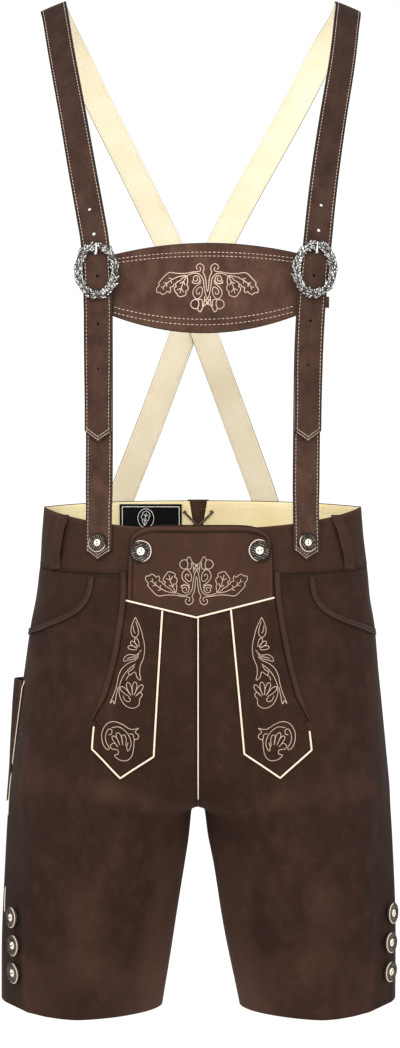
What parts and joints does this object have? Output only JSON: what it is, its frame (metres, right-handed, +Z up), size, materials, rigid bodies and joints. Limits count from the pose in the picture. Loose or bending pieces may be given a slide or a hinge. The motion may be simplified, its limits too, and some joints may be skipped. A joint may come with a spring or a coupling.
{
  "type": "lederhosen",
  "caption": "Knee-length leather shorts with a buttoned drop flap, side pockets and crossed braces joined by a chest bar and oval buckles.",
  "frame": {"origin": "midway between the two points where the braces' undersides lie on the wearer's shoulders", "axes": "+Z up the wearer, +X to the wearer's left, -Y to the wearer's front"},
  "size_m": [0.4342, 0.2683, 1.1028],
  "materials": {
    "suede": "matt dark brown suede",
    "strap_leather": "matt brown leather",
    "lining": "cream woven cotton",
    "piping": "cream leather cord",
    "horn": "dark polished horn",
    "silver": "antique silver plate",
    "label": "black woven label",
    "lace": "brown leather lace"
  },
  "bodies": {
    "root": {"front_panel_right": "suede", "back_panel_right": "suede", "pocket_facing_right": "suede", "pocket_edge_right": "suede", "waistband_right": "suede", "waist_lining_right": "lining", "flap_tab_right": "suede", "flap_strip_right": "suede", "tab_piping_right": "piping", "belt_loop_front_right": "suede", "belt_loop_back_right": "suede", "lower_strap_right": "strap_leather", "upper_strap_right": "strap_leather", "upper_strap_lining_right": "lining", "buckle_right": "silver", "buckle_prong_right": "silver", "strap_button_right": "horn", "flap_button_right": "horn", "back_button_right": "horn", "leg_button_right_1": "horn", "leg_button_right_2": "horn", "leg_button_right_3": "horn", "front_panel_left": "suede", "back_panel_left": "suede", "pocket_facing_left": "suede", "pocket_edge_left": "suede", "waistband_left": "suede", "waist_lining_left": "lining", "flap_tab_left": "suede", "flap_strip_left": "suede", "tab_piping_left": "piping", "belt_loop_front_left": "suede", "belt_loop_back_left": "suede", "lower_strap_left": "strap_leather", "upper_strap_left": "strap_leather", "upper_strap_lining_left": "lining", "buckle_left": "silver", "buckle_prong_left": "silver", "strap_button_left": "horn", "flap_button_left": "horn", "back_button_left": "horn", "leg_button_left_1": "horn", "leg_button_left_2": "horn", "leg_button_left_3": "horn", "drop_flap": "suede", "flap_piping": "piping", "seam_piping": "piping", "knife_pocket": "suede", "crossbar": "strap_leather", "back_tongue": "suede", "back_lace": "lace", "label": "label"}
  },
  "joints": []
}
